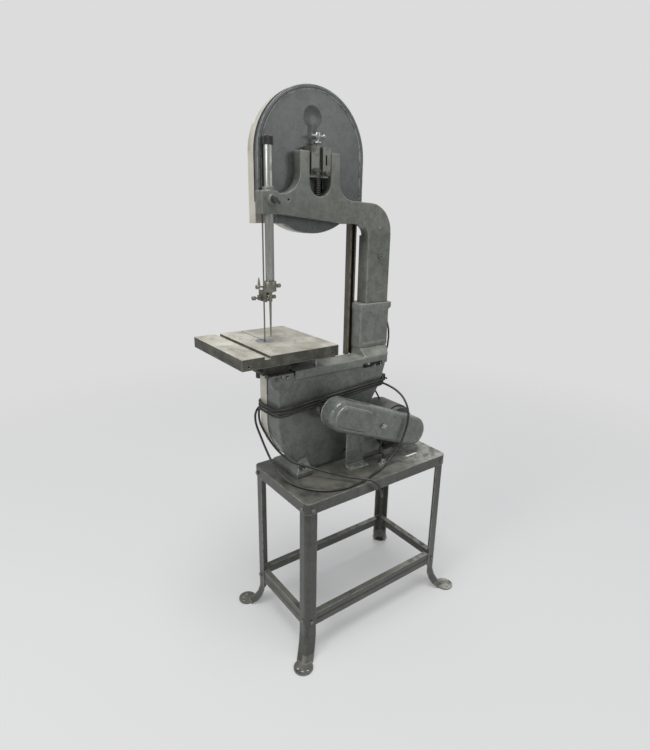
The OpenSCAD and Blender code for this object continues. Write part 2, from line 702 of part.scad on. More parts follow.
module table() {
    edge = 14;
    color("#a09c8c") difference() {
        block([table_x0, table_y0, table_h - table_t], [table_x0 + table_s, table_y0 + table_s, table_h]);
        // hollow below, with ribs over the trunnions
        difference() {
            block([table_x0 + edge, table_y0 + edge, table_h - table_t - 1],
                [table_x0 + table_s - edge, table_y0 + table_s - edge, table_h - 14]);
            for (s = [front_seat, rear_seat])
                block([blade_x - 80, s[0] - 6, table_h - table_t], [blade_x + 80, s[1] + 6, table_h - 13]);
        }
        block([slot_x - 9.5, table_y0 - 1, table_h - 9.5],
            [slot_x + 9.5, table_y0 + table_s + 1, table_h + 1]);
        block([blade_x - 1.5, table_y0 - 1, table_h - table_t - 1], [blade_x + 1.5, blade_y, table_h + 1]);
        cyl_z(32, table_h - 4, table_h + 1, blade_x, blade_y);
        cyl_z(27, table_h - 20, table_h + 1, blade_x, blade_y);
        for (x = [150, 459]) cyl_y(4, table_y0 + table_s - edge - 1, table_y0 + table_s + 1, x, table_h - 24);
        for (x = [150, 459]) cyl_y(4, table_y0 - 1, table_y0 + edge + 1, x, table_h - 24);
        for (y = [-148, 10]) cyl_x(3, table_x0 + table_s - edge - 1, table_x0 + table_s + 1, y, table_h - 22);
    }
}
module table_insert() {
    color("#8f8d84") difference() {
        cyl_z(31.9, table_h - 4, table_h, blade_x, blade_y);
        translate([0, blade_y + 9, 0]) rotate([90, 0, 0]) linear_extrude(60)
            polygon([[blade_x - 1.8, table_h + 1], [blade_x - 1.8, table_h - 5], [blade_x + 8, table_h - 5],
                [blade_x + 1.8, table_h + 1]]);
    }
}
// A sector of a ring about the tilt axis, below the table
module sector(y0, y1, r0, r1, half) {
    slab(y0, y1) translate([blade_x, table_h]) polygon(concat(
        arc([0, 0], r1, 270 - half, 270 + half, 24), arc([0, 0], r0, 270 + half, 270 - half, 24)));
}
module trunnions() {
    color(dark) for (s = [front_seat, rear_seat]) difference() {
        union() {
            slab(s[0], s[1]) intersection() {
                translate([blade_x, table_h]) circle(r = trunnion_r, $fn = 96);
                translate([blade_x - 100, table_h - 100]) square([200, 100 - table_t]);
            }
            if (s == rear_seat)
                block([138, s[0], table_h - table_t - 16], [370, s[1] + 14, table_h - table_t]);
            if (s == front_seat) block([229, s[0], table_h - table_t - 10], [379, s[1], table_h - table_t]);
        }
        sector(s[0] - 1, s[1] + 1, 60, 72, 26);
    }
}
module trunnion_bracket() {
    inner = trunnion_r + 0.5;
    color(dark) difference() {
        union() {
            for (s = [front_seat, rear_seat]) sector(s[0] - 2, s[1] + 2, inner, inner + 11.5, 34);
            slab(-152, -60) translate([blade_x - 44, table_h - 102]) square([88, 11]);
            block([blade_x - 46, -46, seat_z + 0.2], [blade_x + 46, back_y - 1.5, seat_z + 13]);
        }
        block([blade_x - 22, -142, 970], [blade_x + 22, -98, 1010]);
        sector(-50, 0, 0, inner, 60);
        for (p = seat_bolts) cyl_y(3.1, -38, 0, p[0], p[1]);
        cyl_z(4.1, 970, 1005, blade_x, (front_seat[0] + front_seat[1]) / 2);
    }
}
module trunnion_knob() {
    color(dark) translate([blade_x, (front_seat[0] + front_seat[1]) / 2, 950]) {
        cyl_z(4, 20, 49, 0, 0);
        cyl_z(15, 0, 22, 0, 0);
        cyl_z(9, 22, 30, 0, 0);
    }
}
module table_stop_screw() {
    color(steel) translate([150, -42, frame_top]) {
        cyl_z(4, -18, 32, 0, 0);
        translate([0, 0, 30]) cylinder(r = 7, h = 7.5);
        hex(13, 6);
    }
}

// ---- blade guides ----

module guide_post() { color("#8b8c80") cyl_z(post_r, post_z0, post_z1, blade_x, post_y); }
module post_cap() { color(dark) cyl_z(16, post_z1, post_z1 + 26, blade_x, post_y); }
module post_clamp_screw() {
    color(dark) translate([blade_x, post_y + post_r + 0.2, 1540]) rotate([-90, 0, 0]) {
        cylinder(r = 4, h = 28);
        translate([0, 0, 17]) cylinder(r = 10, h = 5);
        translate([0, 0, 22]) cylinder(r = 8, h = 9);
        rotate([0, 0, -37]) translate([-17, 0, 29]) rotate([0, 90, 0]) cylinder(r = 4.5, h = 34);
    }
}
// The fork that holds the blocks and the thrust wheel, its thrust wheel at height z
module guide_fork(z) {
    difference() {
        union() {
            for (s = [-1, 1]) {
                block([blade_x + s * 9.5 - 3, -134, z - 16], [blade_x + s * 9.5 + 3, -88, z + 20]);
                block([blade_x + s * 13 - 5, -134, z - 14], [blade_x + s * 13 + 5, -112, z + 2]);
            }
            block([blade_x - 12, -108, z + 16], [blade_x + 12, post_y + 4, z + 30]);
        }
        cyl_x(3, blade_x - 20, blade_x + 20, thrust_y, z);
    }
    // guide blocks, either side of the blade
    for (s = [-1, 1]) block([blade_x + s * 3.9 - 3.2, -126, z - 12], [blade_x + s * 3.9 + 3.2, -117, z - 4]);
    cyl_x(3, blade_x - 14, blade_x + 14, thrust_y, z);
}
module guide_bracket() {
    color("#6f6a5c") difference() {
        union() {
            guide_fork(upper_guide_z);
            cyl_z(guide_r, 1262, 1294, blade_x, post_y);
            // tapered guard strip that hangs behind the blade
            slab(post_y - 1, post_y + 1.2) translate([blade_x, 0])
                polygon([[-5, 1262], [5, 1262], [2, 1112], [-2, 1112]]);
        }
        cyl_z(post_r, post_z0, 1300, blade_x, post_y);
    }
}
module guide_screw(x0, dir, y, z) {
    translate([x0, y, z]) rotate([0, 90 * dir, 0]) {
        cylinder(r = 2.5, h = 22);
        translate([0, 0, 14]) cylinder(r = 6.5, h = 11);
    }
}
module guide_screws() {
    color("#6f6a5c") {
        guide_screw(blade_x - 19, -1, -92, 1276);
        guide_screw(blade_x - 18, -1, -122, upper_guide_z - 6);
        guide_screw(blade_x + 18, 1, -122, upper_guide_z - 6);
        guide_screw(blade_x + 19, 1, -92, 1276);
        translate([blade_x + 34, -92, 1280]) cylinder(r1 = 5, r2 = 1.5, h = 26);
    }
}
module thrust_wheel() {
    color(steel) difference() {
        cyl_x(thrust_r, blade_x - 5, blade_x + 5, thrust_y, upper_guide_z);
        cyl_x(3 + run_gap, blade_x - 6, blade_x + 6, thrust_y, upper_guide_z);
    }
}
module lower_guide() {
    color("#6f6a5c") {
        guide_fork(lower_guide_z);
        difference() {
            cyl_x(thrust_r, blade_x - 6.5, blade_x + 6.5, thrust_y, lower_guide_z);
            cyl_x(3, blade_x - 7, blade_x + 7, thrust_y, lower_guide_z);
        }
        block([blade_x - 22, -98, 999], [blade_x + 22, -88, 1005]);
        block([blade_x - 22, -100, 1000], [blade_x + 22, -92, 1028]);
    }
}

// ---- drive ----

module pulley(x, z, r, bore) {
    color(steel) turned_y(x, 50, z) difference() {
        translate([bore, 0]) square([r - bore, 20]);
        translate([r - 8, 4]) square([20, 12]);
    }
}
module driven_pulley() { pulley(wheel_x, lower_z, driven_r, shaft_r); }
module motor_pulley() {
    pulley(motor_x, motor_z, motor_pulley_r, 8);
    color(steel) cyl_y(8, 28.3, 74, motor_x, motor_z);
}
module v_belt() {
    color(dark) slab(55, 65) difference() {
        hull() {
            translate(belt_a) circle(r = driven_r - 0.5);
            translate(belt_b) circle(r = motor_pulley_r - 0.5);
        }
        hull() {
            translate(belt_a) circle(r = driven_r - 7.7);
            translate(belt_b) circle(r = motor_pulley_r - 7.7);
        }
    }
}
module belt_guard_back() {
    color(paint) difference() {
        slab(belt_y0, belt_y0 + 3) capsule(belt_a, belt_b, belt_r);
        cyl_y(24, belt_y0 - 1, belt_y0 + 4, wheel_x, lower_z);
        cyl_y(24, belt_y0 - 1, belt_y0 + 4, motor_x, motor_z);
        for (x = [24, 52]) cyl_y(3.1, belt_y0 - 1, belt_y0 + 4, x, 800);
    }
    color(steel) translate([guard_mid[0], belt_y0 + 3, guard_mid[1]]) rotate([-90, 0, 0]) {
        cylinder(r = 3, h = 76);
        cylinder(r = 6, h = 4);
    }
}
// A round box end with rolled edges, along +Y
module rolled_disc(p, y0, y1, r, roll) {
    translate([p[0], y0, p[1]]) rotate([-90, 0, 0]) rotate_extrude($fn = 40) difference() {
        union() {
            square([r, y1 - y0 - roll]);
            square([r - roll, y1 - y0]);
            translate([r - roll, y1 - y0 - roll]) circle(r = roll, $fn = 28);
        }
        translate([-r, -r]) square([r, 3 * r]);
    }
}
module belt_guard_cover() {
    skin = 2;
    boss_end = belt_a + 0.25 * (belt_b - belt_a);
    color("#6f7674") difference() {
        union() {
            hull() for (p = [belt_a, belt_b]) rolled_disc(p, belt_y0 + 3.2, belt_y1, belt_r, 18);
            hull() for (p = [belt_a, boss_end]) rolled_disc(p, belt_y1 - 12, belt_y1 + 8, 41, 12);
        }
        hull() for (p = [belt_a, belt_b]) rolled_disc(p, belt_y0 + 2, belt_y1 - skin, belt_r - skin, 16);
        translate([guard_mid[0], belt_y1 - 8, guard_mid[1]]) rotate([-90, 0, 0]) cylinder(r = 3.5, h = 20);
    }
}
module belt_guard_nut() {
    color(steel) translate([guard_mid[0], belt_y1 + 0.3, guard_mid[1]]) rotate([-90, 0, 0]) difference() {
        union() {
            cylinder(r = 8, h = 10);
            wing(8);
        }
        translate([0, 0, -1]) cylinder(r = 3 + run_gap, h = 20);
    }
}
module belt_guard_bracket() {
    color(paint) difference() {
        union() {
            block([-16, belt_y0 - 4, stand_h], [65, belt_y0, 826]);
            block([-16, belt_y0 - 4, stand_h], [65, 74, stand_h + 5]);
        }
        for (x = [24, 52]) cyl_y(3.1, belt_y0 - 5, belt_y0 + 1, x, 800);
        for (p = bracket_foot) cyl_z(bolt_hole_r, stand_h - 1, stand_h + 6, p[0], p[1]);
    }
}
module motor_body() {
    color("#3c3e3d") {
        difference() {
            union() {
                cyl_y(motor_r, -116, -6, motor_x, motor_z);
                cyl_y(motor_r - 8, -140, 12, motor_x, motor_z);
                cyl_y(30, -152, 28, motor_x, motor_z);
                block([-176, -60, 640], [-146, 10, 700]);
            }
            cyl_y(8.3, 0, 40, motor_x, motor_z);
            block([-260, -160, 600], [-180, 60, 626]);
        }
        for (y = [-116, -30]) {
            block([motor_x - 66, y, stand_h], [motor_x + 66, y + 26, stand_h + 6]);
            slab(y + 4, y + 22) polygon([[motor_x - 60, stand_h + 5], [motor_x + 60, stand_h + 5],
                [motor_x + 34, stand_h + 32], [motor_x - 34, stand_h + 32]]);
        }
    }
}

// ---- switch and wiring ----

module switch_box() {
    color("#4a4d4b") difference() {
        block([-172, -165, 1106], [-118, column_y0 + 3, riser_z1 - 46]);
        block([-150, -166, 1119], [-140, -148, 1133]);
    }
}
module switch_toggle() {
    color(steel) translate([-145, -152, 1126]) {
        rotate([90, 0, 0]) ball_rod(3, 26, 4);
        cyl_x(3.9, -4.5, 4.5, 0, 0);
    }
}
module wiring() {
    color(dark) {
        tube(smooth(MOTOR_ROUTE, 2), 3.5);
        tube(smooth(SWITCH_ROUTE, 1), 3.5);
    }
}
module cord_gland() {
    color("#a8a9a4") {
        cyl_z(hole_r - 0.2, stand_h - 12, stand_h + 1, hole_x, hole_y);
        translate([hole_x, hole_y, stand_h]) hex(38, 7);
        cyl_z(11, stand_h + 6, stand_h + 22, hole_x, hole_y);
    }
}

// ---- free cord ----

// The winding's inner line round the castings and the closed door
module winding_line(grow) {
    polygon(concat(
        arc([294, -125], 28 + grow, -90, 0), arc([294, -39], 28 + grow, 0, 90),
        arc([-130, -39], 28 + grow, 90, 180), arc([-130, -109], 28 + grow, 180, 257),
        arc([-40, -125], 28 + grow, 257, 270, 2)));
}
module cord_lead() { color(dark) tube(smooth(LEAD_ROUTE, 1), cord_r); }
module cord_loop() { color(dark) tube(smooth(LOOP_ROUTE, 1), cord_r); }
module cord_winding() {
    color(dark) translate([wind_x, 0, wind_z]) rotate([0, wind_tilt, 0]) translate([-wind_x, 0, 0])
        linear_extrude(wind_h) difference() {
            winding_line(2 * cord_r);
            winding_line(0);
        }
}
module cord_plug() {
    color("#1d1d1d") {
        block([-194, -84, 880], [-168, -50, 906]);
        for (x = [-187.35, -174.65]) block([x - 0.75, -51, 890], [x + 0.75, -32, 896.35]);
    }
}

stand_top();
leg_front_left();
leg_front_right();
leg_back_left();
leg_back_right();
stand_rails();
stand_bolts();
lower_frame();
frame_bolts();
riser_block();
upper_arm();
lower_door();
lower_door_knob();
upper_guard();
upper_door();
hinge_pins();
hinge_leaves();
column_blade_guard();
upper_wheel();
upper_tire();
upper_bearings();
upper_shaft();
slide_bracket();
tension_screw();
tension_spring();
tracking_screw();
lower_wheel();
lower_tire();
lower_shaft();
lower_bearings();
driven_pulley();
blade();
table();
table_insert();
trunnions();
trunnion_bracket();
trunnion_knob();
table_stop_screw();
guide_post();
post_cap();
post_clamp_screw();
guide_bracket();
guide_screws();
thrust_wheel();
lower_guide();
belt_guard_back();
belt_guard_cover();
belt_guard_nut();
belt_guard_bracket();
v_belt();
motor_body();
motor_pulley();
switch_box();
switch_toggle();
wiring();
cord_gland();
cord_lead();
cord_winding();
cord_loop();
cord_plug();
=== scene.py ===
import json
import math

import bmesh
import bpy
from mathutils import Matrix, Vector


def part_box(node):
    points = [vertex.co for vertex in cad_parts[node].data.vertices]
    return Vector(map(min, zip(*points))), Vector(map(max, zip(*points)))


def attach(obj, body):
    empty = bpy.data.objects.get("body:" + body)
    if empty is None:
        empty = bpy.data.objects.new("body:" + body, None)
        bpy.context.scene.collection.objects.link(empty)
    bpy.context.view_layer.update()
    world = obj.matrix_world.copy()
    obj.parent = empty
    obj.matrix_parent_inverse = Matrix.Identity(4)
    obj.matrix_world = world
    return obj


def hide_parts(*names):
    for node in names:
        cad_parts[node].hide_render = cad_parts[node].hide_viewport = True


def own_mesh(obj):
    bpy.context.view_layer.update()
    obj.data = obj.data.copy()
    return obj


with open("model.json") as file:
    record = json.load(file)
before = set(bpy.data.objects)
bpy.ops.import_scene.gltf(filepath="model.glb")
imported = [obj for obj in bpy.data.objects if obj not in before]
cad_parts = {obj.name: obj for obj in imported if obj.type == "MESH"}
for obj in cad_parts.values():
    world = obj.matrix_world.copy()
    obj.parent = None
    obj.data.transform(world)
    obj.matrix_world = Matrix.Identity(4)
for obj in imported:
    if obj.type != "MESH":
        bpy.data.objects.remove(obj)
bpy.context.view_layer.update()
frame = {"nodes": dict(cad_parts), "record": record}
nodes = frame["nodes"]
scene = bpy.context.scene

# ---- sizes taken from the frame, in metres ----

cap_low, cap_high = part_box("post_cap")
guard_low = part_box("upper_guard")[0]
door_low, door_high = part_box("upper_door")
spring_low, spring_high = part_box("tension_spring")
plug_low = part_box("cord_plug")[0]
ARCH_X = (door_low.x + door_high.x) / 2
ARCH_R = (door_high.x - door_low.x) / 2
ARCH_Z = door_high.z - ARCH_R


# ---- camera ----

CAMERA_PLACE = (1.1255, 1.3422, 1.4980)
CAMERA_TURN = (0.641, 0.304, 0.019)
CAMERA_LENS = 24.29
CAMERA_SHIFT = (-0.0045, -0.0012)


def make_camera():
    """The camera behind the machine's blade side, with its lens and its small shift."""
    yaw, pitch, roll = CAMERA_TURN
    forward = Vector((-math.sin(yaw) * math.cos(pitch), -math.cos(yaw) * math.cos(pitch), -math.sin(pitch)))
    right = forward.cross(Vector((0, 0, 1))).normalized()
    up = right.cross(forward)
    rolled_right = math.cos(roll) * right + math.sin(roll) * up
    rolled_up = math.cos(roll) * up - math.sin(roll) * right
    data = bpy.data.cameras.new("camera")
    data.lens = CAMERA_LENS
    data.sensor_width = 36.0
    data.shift_x, data.shift_y = CAMERA_SHIFT
    camera = bpy.data.objects.new("camera", data)
    turn = Matrix((rolled_right, rolled_up, -forward)).transposed()
    camera.matrix_world = Matrix.Translation(CAMERA_PLACE) @ turn.to_4x4()
    scene.collection.objects.link(camera)
    scene.camera = camera


# ---- free cord ----

CORD_D = 0.008
# from the gland in the stand's top to the winding
LEAD_ROUTE = [
    (-0.072, 0.091, 0.600), (-0.072, 0.091, 0.578), (-0.068, 0.097, 0.556), (-0.054, 0.112, 0.540),
    (-0.032, 0.136, 0.532), (-0.008, 0.162, 0.534), (0.014, 0.186, 0.546), (0.032, 0.202, 0.566),
    (0.044, 0.209, 0.590), (0.054, 0.207, 0.612), (0.066, 0.194, 0.627), (0.084, 0.172, 0.631),
    (0.110, 0.142, 0.630), (0.140, 0.110, 0.634), (0.170, 0.078, 0.640), (0.200, 0.044, 0.648),
    (0.232, 0.014, 0.658), (0.262, -0.014, 0.668), (0.287, -0.046, 0.692), (0.304, -0.080, 0.722),
    (0.315, -0.112, 0.757), (0.321, -0.138, 0.792), (0.314, -0.156, 0.826), (0.296, -0.164, 0.856),
    (0.272, -0.165, 0.876),
]
CORD_EXIT = LEAD_ROUTE[0]
# from the end of the lead into the first turn
LEAD_JOIN = [(0.240, -0.164, 0.887), (0.205, -0.159, 0.889)]
# from the winding over the belt guard, round the stand's top and back
LOOP_ROUTE = [
    (-0.162, -0.039, 0.880), (-0.162, -0.020, 0.880), (-0.163, 0.010, 0.878), (-0.169, 0.040, 0.869),
    (-0.173, 0.070, 0.853), (-0.172, 0.096, 0.828), (-0.168, 0.112, 0.798), (-0.162, 0.117, 0.764),
    (-0.152, 0.117, 0.730), (-0.136, 0.117, 0.696), (-0.112, 0.116, 0.662), (-0.084, 0.115, 0.636),
    (-0.056, 0.118, 0.621), (-0.020, 0.130, 0.6165), (0.030, 0.145, 0.6165), (0.080, 0.158, 0.6165),
    (0.130, 0.163, 0.6165), (0.180, 0.158, 0.6165), (0.226, 0.140, 0.6165), (0.262, 0.106, 0.6165),
    (0.286, 0.066, 0.6165), (0.302, 0.024, 0.621), (0.314, -0.016, 0.638), (0.322, -0.054, 0.668),
    (0.326, -0.090, 0.706), (0.329, -0.124, 0.748), (0.331, -0.150, 0.786), (0.321, -0.167, 0.820),
    (0.293, -0.171, 0.843), (0.262, -0.165, 0.855),
]
PLUG_ROUTE = [(-0.176, -0.112, 0.893), (-0.181, -0.096, 0.893), (-0.181, -0.083, 0.893)]
# centre of each corner of the winding, and the angles that it turns between, clockwise from above
WIND_CORNERS = [
    (0.294, -0.125, 0, -90), (-0.040, -0.125, -90, -103), (-0.130, -0.109, -103, -180),
    (-0.130, -0.039, 180, 90), (0.294, -0.039, 90, 0),
]
WIND_R = 0.028 + CORD_D / 2
WIND_X = -0.158
WIND_LENGTH = 0.480
WIND_TOP, WIND_BOTTOM = 0.9085, 0.8800
WIND_SLOPE = math.tan(math.radians(3.2))
WIND_SPREAD = 0.35
FRONT_Y = -0.157
COIL_START_X = 0.170
LAST_START_X = 0.215
LAST_TOP, LAST_END = 0.8885, 0.893
LAST_CORNERS = [WIND_CORNERS[1], (-0.130, -0.109, -103, -150)]
OUTSIDE = 0.0095
ARC_STEPS = 12
STRAIGHT_STEP = 0.03
POINT_STEP = 0.006
CURVE_STEPS = 4
TIGHTEST_BEND = 0.034
EASING_ROUNDS = 600


def catmull_rom(points, steps):
    """A smooth curve through the points."""
    out = []
    for i in range(len(points) - 1):
        a, b = points[max(i - 1, 0)], points[i]
        c, d = points[i + 1], points[min(i + 2, len(points) - 1)]
        for k in range(steps):
            t = k / steps
            out.append(0.5 * (2 * b + (c - a) * t + (2 * a - 5 * b + 4 * c - d) * t * t
                              + (3 * b - a - 3 * c + d) * t ** 3))
    out.append(points[-1])
    return out


def corner_points(corner, grow):
    x, y, start, end = corner
    r = WIND_R + grow
    angles = [math.radians(start + (end - start) * i / ARC_STEPS) for i in range(ARC_STEPS + 1)]
    return [Vector((x + r * math.cos(a), y + r * math.sin(a), 0)) for a in angles]


def winding(start_x, corners, z_start, z_end, grow=0.0):
    """The cord from the front face round the corners. It leans down and spreads towards the blade side."""
    flat = [Vector((start_x, FRONT_Y - grow, 0))]
    for corner in corners:
        arc = corner_points(corner, grow)
        a, b = flat[-1], arc[0]
        pieces = max(1, round((b - a).length / STRAIGHT_STEP))
        flat += [a.lerp(b, k / pieces) for k in range(1, pieces)] + arc
    far = [0.0]
    for a, b in zip(flat, flat[1:]):
        far.append(far[-1] + (b - a).length)
    out = []
    for p, s in zip(flat, far):
        along = p.x - WIND_X
        below = WIND_TOP - (z_start + (z_end - z_start) * s / far[-1])
        out.append(Vector((p.x, p.y,
                           WIND_TOP - below * (1 + WIND_SPREAD * along / WIND_LENGTH) - WIND_SLOPE * along)))
    return out


def resampled(points):
    """Points the same distance apart along a line."""
    out, left = [points[0]], POINT_STEP
    for a, b in zip(points, points[1:]):
        length = (b - a).length
        while length >= left:
            a = a.lerp(b, left / length)
            length -= left
            out.append(a)
            left = POINT_STEP
        left -= length
    return out + [points[-1]]


def opened(points, radius):
    """The line with every bend that is tighter than the radius eased open."""
    for _ in range(EASING_ROUNDS):
        tight = []
        for i in range(2, len(points) - 2):
            a, b, c = points[i - 1:i + 2]
            if (b - a).angle(c - b, 0.0) > (c - a).length / 2 / radius:
                tight.append(i)
        if not tight:
            break
        for i in tight:
            points[i] = points[i].lerp((points[i - 1] + points[i + 1]) / 2, 0.5)
    return points


def cord_points():
    """The whole cord: the lead, over three turns round the castings, the loop and the last part-turn."""
    turns = (WIND_CORNERS[1:] + WIND_CORNERS[:1]) * 3 + WIND_CORNERS[1:3]
    coil = winding(COIL_START_X, turns, WIND_TOP, WIND_BOTTOM)
    last = winding(LAST_START_X, LAST_CORNERS, LAST_TOP, LAST_END, OUTSIDE)
    lead, loop, end = ([Vector(p) for p in route]
                       for route in (LEAD_ROUTE + LEAD_JOIN, LOOP_ROUTE, PLUG_ROUTE))
    points = resampled(catmull_rom(lead + coil + loop + last + end, CURVE_STEPS))
    return resampled(opened(points, TIGHTEST_BEND))


def round_line(name, points, radius, resolution, material):
    """A round rod with closed ends along a line of points."""
    curve = bpy.data.curves.new(name, "CURVE")
    curve.dimensions = "3D"
    curve.bevel_depth = radius
    curve.bevel_resolution = resolution
    curve.use_fill_caps = True
    spline = curve.splines.new("POLY")
    spline.points.add(len(points) - 1)
    for point, p in zip(spline.points, points):
        point.co = (*p, 1)
    obj = bpy.data.objects.new(name, curve)
    scene.collection.objects.link(obj)
    curve.materials.append(material)
    return obj


def make_cord(material):
    points = cord_points()
    cord = round_line("mains_cord", points, CORD_D / 2, 4, material)
    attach(cord, "frame")
    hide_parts("cord_lead", "cord_winding", "cord_loop")


# ---- materials ----

EDGE_GAIN = 9.0
OIL_STAIN_AND_SHADE = (0.10, 0.085, 0.07)
OLD_PATINA = (0.46, 0.45, 0.41)
WHITE = (1.0, 1.0, 1.0)
# the casting's colour is darker below TONE_LOW_Z than above TONE_HIGH_Z: grime together with painted shade
# under the cord winding and the guard
TONE_LOW_Z, TONE_HIGH_Z = 0.86, 1.00


class Surface:
    """A procedural material under construction. Its coordinates are the row frame, in metres."""

    def __init__(self, name):
        self.material = bpy.data.materials.new(name)
        self.material.use_nodes = True
        self.tree = self.material.node_tree
        self.tree.nodes.clear()
        self.coords = self.node("ShaderNodeTexCoord").outputs["Object"]
        self.geometry = self.node("ShaderNodeNewGeometry")

    def node(self, kind, **settings):
        made = self.tree.nodes.new(kind)
        for key, value in settings.items():
            setattr(made, key, value)
        return made

    def put(self, socket, value):
        if isinstance(value, bpy.types.NodeSocket):
            self.tree.links.new(value, socket)
        elif isinstance(value, (tuple, list)) and len(value) == 3 and socket.type == "RGBA":
            socket.default_value = (*value, 1.0)
        else:
            socket.default_value = value

    def stretched(self, scale):
        mapping = self.node("ShaderNodeMapping")
        self.put(mapping.inputs["Vector"], self.coords)
        mapping.inputs["Scale"].default_value = scale
        return mapping.outputs["Vector"]

    def noise(self, scale, detail=4.0, rough=0.55, distortion=0.0, vector=None):
        made = self.node("ShaderNodeTexNoise")
        self.put(made.inputs["Vector"], vector or self.coords)
        made.inputs["Scale"].default_value = scale
        made.inputs["Detail"].default_value = detail
        made.inputs["Roughness"].default_value = rough
        made.inputs["Distortion"].default_value = distortion
        return made.outputs["Fac"]

    def cells(self, scale):
        made = self.node("ShaderNodeTexVoronoi")
        self.put(made.inputs["Vector"], self.coords)
        made.inputs["Scale"].default_value = scale
        return made.outputs["Distance"]

    def math(self, operation, a, b=0.0):
        made = self.node("ShaderNodeMath", operation=operation)
        self.put(made.inputs[0], a)
        self.put(made.inputs[1], b)
        return made.outputs[0]

    def span(self, value, low, high, out_low=0.0, out_high=1.0):
        """value mapped smoothly from low..high to out_low..out_high, and held there."""
        made = self.node("ShaderNodeMapRange", interpolation_type="SMOOTHSTEP")
        for key, number in zip(("Value", "From Min", "From Max", "To Min", "To Max"),
                               (value, low, high, out_low, out_high)):
            self.put(made.inputs[key], number)
        return made.outputs["Result"]

    def mix(self, factor, a, b):
        made = self.node("ShaderNodeMix", data_type="RGBA")
        self.put(made.inputs[0], factor)
        self.put(made.inputs[6], a)
        self.put(made.inputs[7], b)
        return made.outputs[2]

    def tinted(self, color, tone):
        """The colour multiplied by the tone."""
        made = self.node("ShaderNodeMix", data_type="RGBA", blend_type="MULTIPLY")
        for key, value in ((0, 1.0), (6, color), (7, tone)):
            self.put(made.inputs[key], value)
        return made.outputs[2]

    def edges(self, radius):
        """1 along the piece's sharp edges and 0 on its flat faces."""
        bevel = self.node("ShaderNodeBevel", samples=4)
        bevel.inputs["Radius"].default_value = radius
        dot = self.node("ShaderNodeVectorMath", operation="DOT_PRODUCT")
        self.put(dot.inputs[0], bevel.outputs["Normal"])
        self.put(dot.inputs[1], self.geometry.outputs["Normal"])
        turned = self.math("SUBTRACT", 1.0, dot.outputs["Value"])
        return self.span(self.math("MULTIPLY", turned, EDGE_GAIN), 0.05, 1.0)

    def hollows(self, distance):
        """1 deep in corners and 0 in the open. The materials use it to paint shade."""
        made = self.node("ShaderNodeAmbientOcclusion", samples=4)
        made.inputs["Distance"].default_value = distance
        return self.math("SUBTRACT", 1.0, made.outputs["AO"])

    def upward(self, low=0.6, high=0.98):
        split = self.node("ShaderNodeSeparateXYZ")
        self.put(split.inputs[0], self.geometry.outputs["Normal"])
        return self.span(split.outputs["Z"], low, high)

    def axis(self, name):
        split = self.node("ShaderNodeSeparateXYZ")
        self.put(split.inputs[0], self.coords)
        return split.outputs[name]

    def bump(self, height, distance, strength=1.0, below=None):
        made = self.node("ShaderNodeBump")
        made.inputs["Distance"].default_value = distance
        made.inputs["Strength"].default_value = strength
        self.put(made.inputs["Height"], height)
        if below is not None:
            self.put(made.inputs["Normal"], below)
        return made.outputs["Normal"]

    def finish(self, color, roughness, metallic=0.0, normal=None, **fixed):
        shader = self.node("ShaderNodeBsdfPrincipled")
        self.put(shader.inputs["Base Color"], color)
        self.put(shader.inputs["Roughness"], roughness)
        self.put(shader.inputs["Metallic"], metallic)
        if normal is not None:
            self.put(shader.inputs["Normal"], normal)
        for key, value in fixed.items():
            shader.inputs[key.replace("_", " ")].default_value = value
        output = self.node("ShaderNodeOutputMaterial")
        self.put(output.inputs["Surface"], shader.outputs[0])
        return self.material


def shade(color, factor):
    return tuple(c * factor for c in color)


